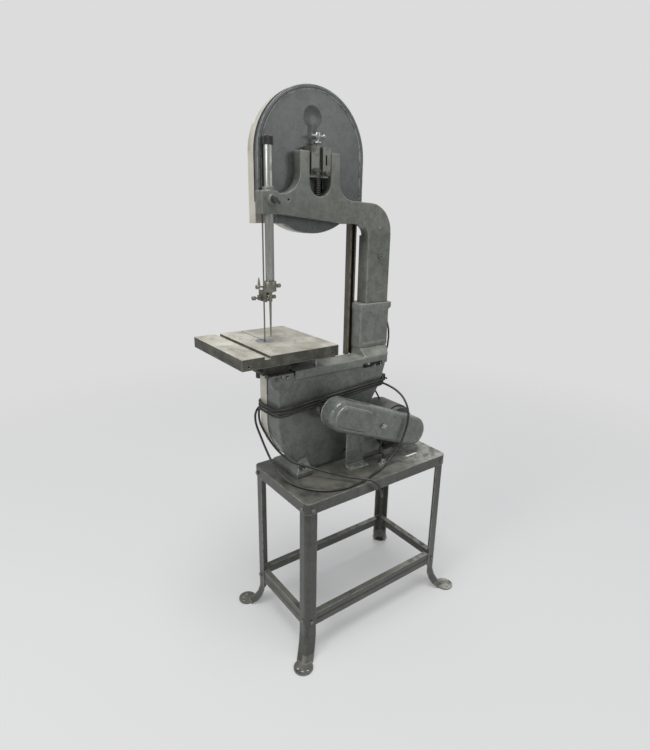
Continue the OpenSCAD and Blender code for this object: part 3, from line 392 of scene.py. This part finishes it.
def enamel(name, base, wear_and_highlight, dust, gloss=0.36, cast=0.0, edge_wear_and_highlight=0.7, dusty=0.5, corner_shade=0.6, chips_and_glints=0.12,
           patina=0.0, tones=None):
    """Old machine enamel: mottled, dusty on top, with painted shade in its corners, and pale along its edges
    from scuffed paint and a painted highlight.
    """
    s = Surface(name)
    cloud = s.noise(5.0, 6.0, 0.6)
    grain = s.noise(90.0, 5.0, 0.65)
    color = s.mix(s.span(cloud, 0.35, 0.68), shade(base, 0.80), shade(base, 1.16))
    color = s.mix(s.math("MULTIPLY", s.span(grain, 0.40, 0.75), 0.40), color, shade(base, 1.45))
    blotch = s.noise(32.0, 6.0, 0.7)
    color = s.mix(s.math("MULTIPLY", s.span(blotch, 0.56, 0.40), 0.55), color, shade(base, 0.55))
    speckle = s.noise(330.0, 3.0, 0.6)
    color = s.mix(s.math("MULTIPLY", s.span(speckle, 0.60, 0.74), 0.35), color, wear_and_highlight)
    streak = s.noise(9.0, 5.0, 0.6, vector=s.stretched((1.0, 1.0, 0.16)))
    color = s.mix(s.math("MULTIPLY", s.span(streak, 0.55, 0.78), 0.30), color, dust)
    # painted shade: the colour darkens deep in corners, by ambient occlusion
    corner = s.math("MULTIPLY", s.span(s.hollows(0.030), 0.25, 0.85), corner_shade)
    color = s.mix(corner, color, shade(base, 0.30))
    patches = s.math("MULTIPLY", s.upward(), s.span(s.noise(14.0, 6.0, 0.65), 0.28, 0.66))
    settled = s.math("MULTIPLY", patches, dusty)
    color = s.mix(settled, color, dust)
    if patina:
        far = s.span(s.axis("X"), -0.02, -0.30)
        cleaned = s.math("MULTIPLY", s.math("MULTIPLY", s.upward(), far), s.span(blotch, 0.34, 0.60))
        color = s.mix(s.math("MULTIPLY", cleaned, patina), color, OLD_PATINA)
    # darker towards the bottom: grime together with painted shade under the cord winding and the guard
    if tones:
        height = s.span(s.axis("Z"), TONE_LOW_Z, TONE_HIGH_Z)
        tone = s.mix(height, shade(WHITE, tones[0]), shade(WHITE, tones[1]))
        color = s.tinted(color, tone)
    # pale edges: scuffed paint together with a painted highlight along the edges
    edge = s.edges(0.0045)
    if cast:
        edge = s.math("MAXIMUM", edge, s.span(s.geometry.outputs["Pointiness"], 0.53, 0.60))
    rubbed_and_highlit = s.math("MULTIPLY", edge, s.span(s.noise(38.0, 5.0, 0.7), 0.32, 0.60))
    # pale flecks: flaked paint, and on the belt guard also painted glints
    fleck = s.span(s.cells(85.0), 0.16, 0.04)
    chosen = s.span(s.noise(7.0, 3.0, 0.6), 0.52, 0.66)
    chipped_and_glinting = s.math("MULTIPLY", s.math("MULTIPLY", fleck, chosen), chips_and_glints)
    bare_and_highlit = s.math("MAXIMUM", s.math("MULTIPLY", rubbed_and_highlit, edge_wear_and_highlight), chipped_and_glinting)
    color = s.mix(bare_and_highlit, color, wear_and_highlight)
    rough = s.span(grain, 0.3, 0.8, gloss - 0.06, gloss + 0.14)
    rough = s.math("ADD", rough, s.math("MULTIPLY", settled, 0.30))
    skin = s.bump(s.noise(240.0, 3.0), 0.0002 if gloss > 0.25 else 0.0005, 0.55)
    if cast:
        skin = s.bump(s.noise(26.0, 7.0, 0.62), 0.0022, cast, skin)
    return s.finish(color, rough, 0.0, skin, Coat_Weight=0.25, Coat_Roughness=0.22)


def steel(name, base, rough=0.34, along=(1, 1, 1), stained=0.5, metallic=0.92):
    """Machined or drawn steel with fine marks along one direction, old oil stains, and painted shade in its
    hollows in a darker oil colour.
    """
    s = Surface(name)
    marks = s.noise(260.0, 6.0, 0.7, vector=s.stretched(along))
    blot = s.span(s.noise(42.0, 6.0, 0.66), 0.48, 0.74)
    color = s.mix(s.span(marks, 0.3, 0.75), shade(base, 0.78), shade(base, 1.12))
    color = s.mix(s.math("MULTIPLY", blot, stained), color, OIL_STAIN_AND_SHADE)
    # painted shade: darker in hollows, in a deep oil colour
    color = s.mix(s.math("MULTIPLY", s.span(s.hollows(0.008), 0.3, 0.9), 0.6), color, shade(OIL_STAIN_AND_SHADE, 0.6))
    color = s.mix(s.math("MULTIPLY", s.edges(0.0015), 0.5), color, shade(base, 1.35))
    r = s.math("ADD", s.span(marks, 0.3, 0.8, rough - 0.07, rough + 0.10), s.math("MULTIPLY", blot, 0.22))
    return s.finish(color, r, metallic, s.bump(marks, 0.0001, 0.35))


def table_iron():
    """Ground cast iron: fine grinding marks, pale patina, brown blotches, a dark, dirty skirt and painted
    shade in its hollows.
    """
    s = Surface("table_iron")
    lines = s.noise(150.0, 6.0, 0.7, vector=s.stretched((1.0, 0.05, 1.0)))
    cloud = s.noise(7.0, 7.0, 0.62, 0.6)
    top = s.mix(s.span(cloud, 0.32, 0.70), (0.34, 0.312, 0.256), (0.68, 0.65, 0.56))
    top = s.mix(s.math("MULTIPLY", s.span(lines, 0.35, 0.75), 0.45), top, (0.78, 0.755, 0.68))
    rust = s.span(s.noise(11.0, 7.0, 0.7, 0.4), 0.56, 0.72)
    top = s.mix(s.math("MULTIPLY", rust, 0.60), top, (0.24, 0.165, 0.11))
    grime = s.span(s.noise(30.0, 7.0, 0.72), 0.52, 0.72)
    top = s.mix(s.math("MULTIPLY", grime, 0.60), top, (0.12, 0.11, 0.09))
    side_cloud = s.noise(24.0, 6.0, 0.66)
    side = s.mix(s.span(side_cloud, 0.35, 0.70), (0.050, 0.050, 0.040), (0.125, 0.122, 0.098))
    side = s.mix(s.math("MULTIPLY", s.edges(0.003), 0.75), side, (0.46, 0.44, 0.38))
    color = s.mix(s.upward(0.75, 0.95), side, top)
    # painted shade: darker in hollows
    color = s.mix(s.math("MULTIPLY", s.span(s.hollows(0.012), 0.35, 0.9), 0.75), color, (0.05, 0.045, 0.04))
    rough = s.math("ADD", s.span(cloud, 0.3, 0.8, 0.38, 0.58), s.math("MULTIPLY", rust, 0.2))
    skin = s.bump(s.noise(60.0, 6.0, 0.65), 0.0008, 0.35, s.bump(lines, 0.0001, 0.4))
    return s.finish(color, rough, 0.25, skin)


def dark_iron():
    """Oily black castings and fittings, scuffed grey along their edges."""
    s = Surface("dark_iron")
    base, pale, rough = (0.055, 0.055, 0.050), (0.20, 0.19, 0.165), 0.42
    cloud = s.noise(46.0, 6.0, 0.66)
    color = s.mix(s.span(cloud, 0.38, 0.72), base, shade(base, 2.0))
    color = s.mix(s.math("MULTIPLY", s.edges(0.002), 0.7), color, pale)
    color = s.mix(s.math("MULTIPLY", s.upward(), 0.30), color, pale)
    r = s.span(cloud, 0.3, 0.8, rough - 0.1, rough + 0.16)
    return s.finish(color, r, 0.35, s.bump(s.noise(120.0, 5.0), 0.0006, 0.5))


def bolt_steel():
    """Screw heads: pale on the blade side, and black with pale scuffed spots on the column side."""
    s = Surface("bolt_steel")
    cloud = s.noise(60.0, 5.0, 0.66)
    pale = s.mix(s.span(cloud, 0.40, 0.66), (0.10, 0.095, 0.08), (0.62, 0.61, 0.56))
    dark = s.mix(s.span(cloud, 0.56, 0.62), (0.016, 0.015, 0.013), (0.50, 0.49, 0.44))
    pale_part = s.math("MAXIMUM", s.span(s.axis("X"), 0.02, 0.12), s.span(s.axis("Z"), 1.10, 1.20))
    color = s.mix(pale_part, dark, pale)
    return s.finish(color, 0.36, 0.5, s.bump(s.noise(140.0, 4.0), 0.0004, 0.5))


def moulded(name, base, rough=0.45, dusty=0.25):
    """Rubber or moulded plastic with a fine grain and dust on its upper side."""
    s = Surface(name)
    grain = s.noise(300.0, 4.0, 0.6)
    cloud = s.noise(18.0, 5.0, 0.6)
    color = s.mix(s.span(cloud, 0.35, 0.7), base, shade(base, 1.7))
    dust = s.math("MULTIPLY", s.math("MULTIPLY", s.upward(0.2, 0.95), s.span(cloud, 0.3, 0.65)), dusty)
    color = s.mix(dust, color, (0.30, 0.285, 0.255))
    color = s.mix(s.math("MULTIPLY", s.edges(0.0012), 0.35), color, shade(base, 4.0))
    r = s.math("ADD", s.span(grain, 0.3, 0.7, rough - 0.05, rough + 0.08), s.math("MULTIPLY", dust, 0.3))
    return s.finish(color, r, 0.0, s.bump(grain, 0.0002, 0.5))


def cream_paint():
    """Aged cream enamel, flaked to dark primer along its edges, with painted shade in its hollows."""
    s = Surface("cream_cover")
    base = (0.57, 0.540, 0.465)
    cloud = s.noise(8.0, 6.0, 0.6)
    color = s.mix(s.span(cloud, 0.35, 0.7), shade(base, 0.86), shade(base, 1.10))
    streak = s.noise(14.0, 6.0, 0.65, vector=s.stretched((1.0, 1.0, 0.12)))
    color = s.mix(s.math("MULTIPLY", s.span(streak, 0.54, 0.78), 0.40), color, (0.30, 0.285, 0.24))
    # painted shade: darker in hollows
    color = s.mix(s.math("MULTIPLY", s.span(s.hollows(0.02), 0.25, 0.8), 0.6), color, (0.14, 0.13, 0.11))
    broken = s.span(s.noise(48.0, 6.0, 0.75), 0.50, 0.60)
    chip = s.math("MULTIPLY", s.edges(0.006), broken)
    spots = s.math("MULTIPLY", s.span(s.cells(120.0), 0.14, 0.06), s.span(s.noise(20.0, 4.0), 0.55, 0.68))
    color = s.mix(s.math("MAXIMUM", s.math("MULTIPLY", chip, 0.85), s.math("MULTIPLY", spots, 0.7)), color,
                  (0.13, 0.135, 0.13))
    rough = s.span(cloud, 0.3, 0.8, 0.34, 0.50)
    return s.finish(color, rough, 0.0, s.bump(s.noise(220.0, 3.0), 0.0002, 0.5), Coat_Weight=0.1)


def make_materials():
    pale_wear_and_highlight = (0.42, 0.425, 0.40)
    dust = (0.34, 0.335, 0.305)
    casting = enamel("grey_casting", (0.141, 0.150, 0.131), pale_wear_and_highlight, dust, gloss=0.33, cast=0.34, edge_wear_and_highlight=0.95,
                     dusty=0.55, tones=(0.92, 1.26))
    return {
        "grey_casting": casting,
        "arm_casting": enamel("arm_casting", (0.150, 0.158, 0.136), pale_wear_and_highlight, dust, gloss=0.33, cast=0.34,
                              edge_wear_and_highlight=0.95, dusty=0.55),
        "grey_sheet": enamel("grey_sheet", (0.056, 0.058, 0.049), pale_wear_and_highlight, (0.17, 0.165, 0.14), gloss=0.36,
                             edge_wear_and_highlight=0.75, dusty=0.70, chips_and_glints=0.30, patina=0.75),
        "guard_sheet": enamel("guard_sheet", (0.098, 0.109, 0.105), (0.60, 0.61, 0.59), dust, gloss=0.30,
                              edge_wear_and_highlight=0.9, dusty=0.3, corner_shade=0.4, chips_and_glints=0.2),
        # the belt guard's many pale flecks are flaked paint together with painted glints on its glossy face
        "cover_sheet": enamel("cover_sheet", (0.146, 0.158, 0.141), (0.62, 0.63, 0.60), (0.30, 0.31, 0.28),
                              gloss=0.20, edge_wear_and_highlight=0.8, dusty=0.30, corner_shade=0.6, chips_and_glints=0.9),
        "cream_cover": cream_paint(),
        "brown_guard": enamel("brown_guard", (0.085, 0.072, 0.055), (0.46, 0.38, 0.24), (0.25, 0.22, 0.17),
                              gloss=0.40, edge_wear_and_highlight=0.85, dusty=0.3),
        "motor_paint": enamel("motor_paint", (0.045, 0.048, 0.046), (0.20, 0.20, 0.19), (0.20, 0.19, 0.17),
                              gloss=0.42, edge_wear_and_highlight=0.5, dusty=0.7),
        "table_iron": table_iron(),
        "dark_iron": dark_iron(),
        "guide_bronze": steel("guide_bronze", (0.30, 0.29, 0.24), 0.36, stained=0.75, metallic=0.8),
        "slide_steel": steel("slide_steel", (0.20, 0.205, 0.18), 0.40, (1.0, 1.0, 0.08), stained=0.7,
                             metallic=0.7),
        "bright_steel": steel("bright_steel", (0.52, 0.52, 0.49), 0.30),
        "bolt_steel": bolt_steel(),
        "old_steel": steel("old_steel", (0.20, 0.20, 0.18), 0.42, stained=0.8, metallic=0.6),
        "chrome_steel": steel("chrome_steel", (0.50, 0.50, 0.48), 0.27, stained=0.45, metallic=0.9),
        "post_steel": steel("post_steel", (0.40, 0.405, 0.375), 0.33, (1.0, 1.0, 0.03), stained=0.35,
                            metallic=0.75),
        "blade_steel": steel("blade_steel", (0.30, 0.295, 0.28), 0.36, (1.0, 1.0, 0.05), stained=0.4),
        "black_knob": moulded("black_knob", (0.016, 0.016, 0.016), 0.36, 0.35),
        "rubber": moulded("rubber", (0.022, 0.020, 0.018), 0.62, 0.30),
        "tire_rubber": moulded("tire_rubber", (0.075, 0.052, 0.036), 0.70, 0.55),
        "cord_black": moulded("cord_black", (0.016, 0.016, 0.016), 0.46, 0.22),
    }


# ---- CAD nodes ----

CAST = {"lower_frame": 0.0022, "upper_arm": 0.0020, "riser_block": 0.0018}
COVER_NODES = ("belt_guard_back", "belt_guard_cover", "belt_guard_bracket")
COVER_MATERIAL = "cover_sheet"
OWN_MATERIALS = {"upper_guard": "guard_sheet", "upper_arm": "arm_casting", "slide_bracket": "slide_steel",
                 "stand_bolts": "old_steel", "frame_bolts": "bolt_steel"}
SOFT_EDGE = {"upper_guard": 0.0026, "stand_top": 0.0025, "upper_door": 0.0035, "lower_door": 0.0045,
             "table": 0.0012, "motor_body": 0.0030, "switch_box": 0.0020, "trunnions": 0.0014,
             "trunnion_bracket": 0.0014}
FINE_EDGE = 0.0006
WELD_GAP = 0.00002
SHARP_ANGLE = math.radians(38)


def soften(obj, width):
    """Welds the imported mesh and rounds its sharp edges, as modifiers."""
    weld = obj.modifiers.new("weld", "WELD")
    weld.merge_threshold = WELD_GAP
    bevel = obj.modifiers.new("edges", "BEVEL")
    bevel.width = width
    bevel.segments = 2
    bevel.limit_method = "ANGLE"
    bevel.angle_limit = SHARP_ANGLE
    bevel.harden_normals = True
    bevel.use_clamp_overlap = True


def cast_skin(obj, voxel):
    """Fillets a casting's inner and outer corners, as modifiers."""
    remesh = obj.modifiers.new("skin", "REMESH")
    remesh.mode = "VOXEL"
    remesh.voxel_size = voxel
    remesh.use_smooth_shade = True
    smooth = obj.modifiers.new("fillets", "SMOOTH")
    smooth.factor = 0.5
    smooth.iterations = 9


def finish_nodes(materials):
    slots = {entry["node"]: entry["material_slot"] for entry in frame["record"]["subparts"]}
    for name, obj in nodes.items():
        key = COVER_MATERIAL if name in COVER_NODES else OWN_MATERIALS.get(name, slots[name])
        obj.data.materials.clear()
        obj.data.materials.append(materials[key])
        if name in CAST:
            cast_skin(obj, CAST[name])
        else:
            soften(obj, SOFT_EDGE.get(name, FINE_EDGE))


# ---- detail pieces ----

def add_mesh(name, bm, material, body):
    mesh = bpy.data.meshes.new(name)
    bmesh.ops.recalc_face_normals(bm, faces=bm.faces)
    bm.to_mesh(mesh)
    mesh.materials.append(material)
    obj = bpy.data.objects.new(name, mesh)
    scene.collection.objects.link(obj)
    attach(obj, body)
    return obj


def lathe(profile, place, axis="Z", sides=48, ribs=0.0):
    """A turned shape from pairs of distance and radius. Every other side can be sunk to make ribs."""
    bm = bmesh.new()
    rings = []
    for along, radius in profile:
        ring = []
        for k in range(sides):
            r = radius * (1 - ribs * (k % 2))
            u, v = r * math.cos(math.tau * k / sides), r * math.sin(math.tau * k / sides)
            offset = {"Z": (u, v, along), "Y": (u, along, v)}[axis]
            ring.append(bm.verts.new(Vector(place) + Vector(offset)))
        rings.append(ring)
    for a, b in zip(rings, rings[1:]):
        for k in range(sides):
            bm.faces.new((a[k], a[(k + 1) % sides], b[(k + 1) % sides], b[k]))
    bm.faces.new(rings[0])
    bm.faces.new(rings[-1])
    return bm


def wire(name, points, radius, material, body):
    obj = round_line(name, points, radius, 3, material)
    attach(obj, body)


def arch_points(radius, y, count):
    """The half circle over the wheel guard, from the blade side to the column side."""
    turns = [math.pi * i / count for i in range(count + 1)]
    return [Vector((ARCH_X + radius * math.cos(a), y, ARCH_Z + radius * math.sin(a))) for a in turns]


def make_spring(material):
    """The helical tension spring."""
    wire_r, coils, count, sides = 0.0024, 7.5, 240, 8
    centre = (spring_low + spring_high) / 2
    r = (spring_high.x - spring_low.x) / 2 - wire_r
    z0, z1 = spring_low.z + wire_r, spring_high.z - wire_r
    bm = bmesh.new()
    rings = []
    for i in range(count + 1):
        turn = math.tau * coils * i / count
        out = Vector((math.cos(turn), math.sin(turn), 0))
        middle = Vector((centre.x, centre.y, z0 + (z1 - z0) * i / count)) + r * out
        around = [math.tau * k / sides for k in range(sides)]
        rings.append([bm.verts.new(middle + wire_r * (math.cos(a) * out + Vector((0, 0, math.sin(a)))))
                      for a in around])
    for a, b in zip(rings, rings[1:]):
        for k in range(sides):
            face = bm.faces.new((a[k], a[(k + 1) % sides], b[(k + 1) % sides], b[k]))
            face.smooth = True
    bm.faces.new(rings[0])
    bm.faces.new(rings[-1])
    spring = add_mesh("helical_spring", bm, material, "frame")
    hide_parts("tension_spring")
    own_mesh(spring)


def make_cap(material):
    """The guide post's moulded cap, ribbed round its side."""
    x, y = (cap_low.x + cap_high.x) / 2, (cap_low.y + cap_high.y) / 2
    r, h = (cap_high.x - cap_low.x) / 2, cap_high.z - cap_low.z
    profile = [(0, 0.97 * r), (0.0015, r), (h - 0.005, r), (h - 0.002, 0.93 * r), (h, 0.80 * r)]
    bm = lathe(profile, (x, y, cap_low.z), sides=60, ribs=0.07)
    cap = add_mesh("ribbed_cap", bm, material, "guide_post")
    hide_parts("post_cap")


def make_gasket(material):
    """The dark line where the door's rim meets the guard's bead."""
    r, y, bottom = ARCH_R + 0.0011, door_high.y - 0.0002, guard_low.z + 0.095
    column_side = ARCH_Z - 0.01
    points = ([Vector((ARCH_X + r, y, bottom))] + arch_points(r, y, 72)
              + [Vector((ARCH_X - r, y, column_side))])
    wire("gasket", points, 0.0013, material, "frame")


def make_bead(material):
    """The rolled bead along the guard's rim, from the arm over the arch and down to the arm again."""
    bead_r, arch_r = 0.0062, ARCH_R - 0.0050
    y, blade_side, column_side = -0.1009, 1.575, 1.556
    points = ([Vector((ARCH_X + arch_r, y, blade_side))] + arch_points(arch_r, y, 96)
              + [Vector((ARCH_X - arch_r, y, column_side))])
    wire("rolled_bead", points, bead_r, material, "frame")


SLIDE_KNOB_PLACE = (0.106, -0.056, 1.624)
SLIDE_KNOB = [(0, 0.004), (0.003, 0.004), (0.0035, 0.0085), (0.012, 0.0085), (0.014, 0.006)]
GLAND_RELIEF = [(0, 0.0095), (-0.004, 0.009), (-0.030, 0.0049), (-0.031, 0.0044)]
PLUG_RELIEF = [(0, 0.0080), (-0.006, 0.0072), (-0.021, 0.0050), (-0.022, 0.0044)]


def make_slide_knob(material):
    """The second small screw at the foot of the sliding bracket."""
    bm = lathe(SLIDE_KNOB, SLIDE_KNOB_PLACE, axis="Y", sides=32, ribs=0.05)
    add_mesh("slide_knob", bm, material, "slide")


def make_cord_ends(material):
    """The tapered reliefs where the cord leaves the gland and where it enters the plug."""
    bm = lathe(GLAND_RELIEF, CORD_EXIT)
    add_mesh("gland_relief", bm, material, "frame")
    end_x, _, end_z = PLUG_ROUTE[-1]
    bm = lathe(PLUG_RELIEF, (end_x, plug_low.y, end_z), axis="Y")
    add_mesh("plug_relief", bm, material, "frame")


# ---- stage ----

BACKDROP = (0.716, 0.716, 0.722)
AMBIENT = 0.42
AMBIENT_COLOR = (0.96, 0.98, 1.0)
FLOOR_COLOR = (0.45, 0.45, 0.45)
FLOOR_GLOW = 0.31
FLOOR_R = 7.0
FLOOR_GAP = 0.0005
FADE_FROM, FADE_TO = 1.2, 4.0
LIT_POINT = (0.05, -0.05, 0.9)
# name, place, size and power of each soft light
LIGHTS = [
    ("overhead", (1.2, 1.0, 8.0), 4.5, 360),
    ("left_key", (6.5, 0.5, 4.6), 3.2, 170),
    ("back_fill", (-3.5, 6.0, 3.6), 3.6, 60),
]


def make_floor():
    """A pale floor just under the feet, which fades into the backdrop."""
    mesh = bpy.data.meshes.new("floor")
    bm = bmesh.new()
    bmesh.ops.create_circle(bm, cap_ends=True, segments=96, radius=FLOOR_R)
    bm.to_mesh(mesh)
    floor = bpy.data.objects.new("floor", mesh)
    floor.location.z = -FLOOR_GAP
    scene.collection.objects.link(floor)
    s = Surface("floor")
    s.finish(FLOOR_COLOR, 0.9, Emission_Color=(*BACKDROP, 1), Emission_Strength=FLOOR_GLOW)
    distance = s.node("ShaderNodeVectorMath", operation="LENGTH")
    s.put(distance.inputs[0], s.coords)
    clear = s.node("ShaderNodeBsdfTransparent")
    blend = s.node("ShaderNodeMixShader")
    shader = next(n for n in s.tree.nodes if n.type == "BSDF_PRINCIPLED")
    output = next(n for n in s.tree.nodes if n.type == "OUTPUT_MATERIAL")
    s.put(blend.inputs[0], s.span(distance.outputs["Value"], FADE_FROM, FADE_TO))
    s.put(blend.inputs[1], shader.outputs[0])
    s.put(blend.inputs[2], clear.outputs[0])
    s.put(output.inputs["Surface"], blend.outputs[0])
    mesh.materials.append(s.material)


def area_light(name, place, size, power):
    data = bpy.data.lights.new(name, "AREA")
    data.shape = "DISK"
    data.size = size
    data.energy = power
    light = bpy.data.objects.new(name, data)
    light.location = place
    light.rotation_euler = (Vector(LIT_POINT) - Vector(place)).to_track_quat("-Z", "Y").to_euler()
    scene.collection.objects.link(light)


def make_light():
    world = bpy.data.worlds.new("studio")
    scene.world = world
    world.use_nodes = True
    tree = world.node_tree
    tree.nodes.clear()
    seen, around = (tree.nodes.new("ShaderNodeBackground") for _ in range(2))
    seen.inputs["Color"].default_value = (*BACKDROP, 1)
    around.inputs["Color"].default_value = (*AMBIENT_COLOR, 1)
    around.inputs["Strength"].default_value = AMBIENT
    path = tree.nodes.new("ShaderNodeLightPath")
    both = tree.nodes.new("ShaderNodeMixShader")
    output = tree.nodes.new("ShaderNodeOutputWorld")
    tree.links.new(path.outputs["Is Camera Ray"], both.inputs[0])
    tree.links.new(around.outputs[0], both.inputs[1])
    tree.links.new(seen.outputs[0], both.inputs[2])
    tree.links.new(both.outputs[0], output.inputs["Surface"])
    for light in LIGHTS:
        area_light(*light)
    scene.view_settings.view_transform = "Standard"
    scene.view_settings.look = "None"


# ---- build ----

make_camera()
materials = make_materials()
make_cord(materials["cord_black"])
finish_nodes(materials)
make_spring(materials["dark_iron"])
make_bead(materials["guard_sheet"])
make_slide_knob(materials["dark_iron"])
make_cap(materials["black_knob"])
make_gasket(materials["rubber"])
make_cord_ends(materials["cord_black"])
make_floor()
make_light()
